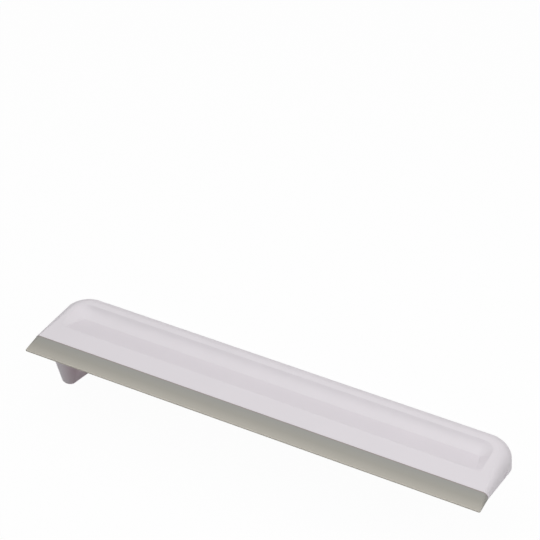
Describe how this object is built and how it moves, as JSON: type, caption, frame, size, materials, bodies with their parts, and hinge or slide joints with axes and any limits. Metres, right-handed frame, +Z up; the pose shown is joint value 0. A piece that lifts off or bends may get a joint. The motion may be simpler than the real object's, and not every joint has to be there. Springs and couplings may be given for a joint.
{
  "type": "shower squeegee",
  "caption": "Slim one-hand shower squeegee: hollow wedge body with a sloping finger recess, silicone blade along the front edge and a tapered hanging hook under one end.",
  "frame": {"origin": "middle of the box's footprint, at the height of the hook's lowest point", "axes": "+X along the blade to the right end, +Y from the blade's lip to the back, +Z up out of the level top"},
  "size_m": [0.24, 0.0514, 0.042],
  "materials": {
    "shell": "satin moulded plastic, white with a faint lilac cast",
    "cover": "satin moulded plastic, white with a faint lilac cast",
    "blade": "matte silicone, warm grey-green, slightly translucent towards the lip"
  },
  "bodies": {
    "root": {"top_shell": "shell", "underside_cover": "cover", "wiper_blade": "blade"}
  },
  "joints": []
}
